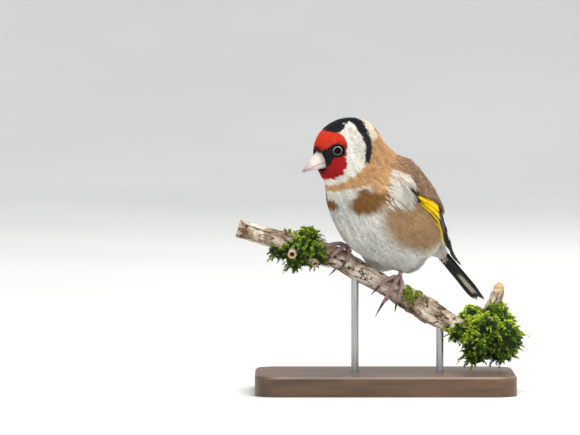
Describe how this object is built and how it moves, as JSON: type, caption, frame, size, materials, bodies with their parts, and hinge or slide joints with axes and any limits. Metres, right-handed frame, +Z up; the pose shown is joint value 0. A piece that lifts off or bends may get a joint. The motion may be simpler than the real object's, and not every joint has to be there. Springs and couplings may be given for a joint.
{
  "type": "european goldfinch model on a perch and stand",
  "caption": "Life-size still model of a european goldfinch gripping a short mossy branch, held up by a plain flat base and round rods.",
  "frame": {"origin": "centre of the stand base's underside, on the surface that the model stands on", "axes": "+Z up; the branch runs along X and falls towards +X; the bird faces between -X and -Y with its left side towards -Y"},
  "size_m": [0.1148, 0.0806, 0.1099],
  "materials": {
    "plumage": "soft body feathers: red face, black and white head, buff and white body",
    "flight_feathers": "smooth black vanes with a yellow band and pale tips",
    "bill_horn": "satin horn with a grey tip",
    "eye": "polished dark brown",
    "leg_skin": "dull skin with small plates",
    "claw_horn": "satin dark horn",
    "bark": "rough pale bark with dark cracks",
    "moss": "matte tufted moss",
    "stand_wood": "satin oiled wood",
    "stand_steel": "brushed"
  },
  "bodies": {
    "root": {"head": "plumage", "neck": "plumage", "torso": "plumage", "tail_coverts": "plumage", "bill_upper": "bill_horn", "bill_lower": "bill_horn", "eye_left": "eye", "eye_right": "eye", "wing_left": "flight_feathers", "wing_right": "flight_feathers", "tail": "flight_feathers", "leg_left": "leg_skin", "leg_right": "leg_skin", "foot_left": "leg_skin", "foot_right": "leg_skin", "claw_left_inner": "claw_horn", "claw_left_middle": "claw_horn", "claw_left_outer": "claw_horn", "claw_left_hind": "claw_horn", "claw_right_inner": "claw_horn", "claw_right_middle": "claw_horn", "claw_right_outer": "claw_horn", "claw_right_hind": "claw_horn", "perch_branch": "bark", "perch_stub": "bark", "moss_left": "moss", "moss_end": "moss", "stand_base": "stand_wood", "stand_rod_1": "stand_steel", "stand_rod_2": "stand_steel"}
  },
  "joints": []
}
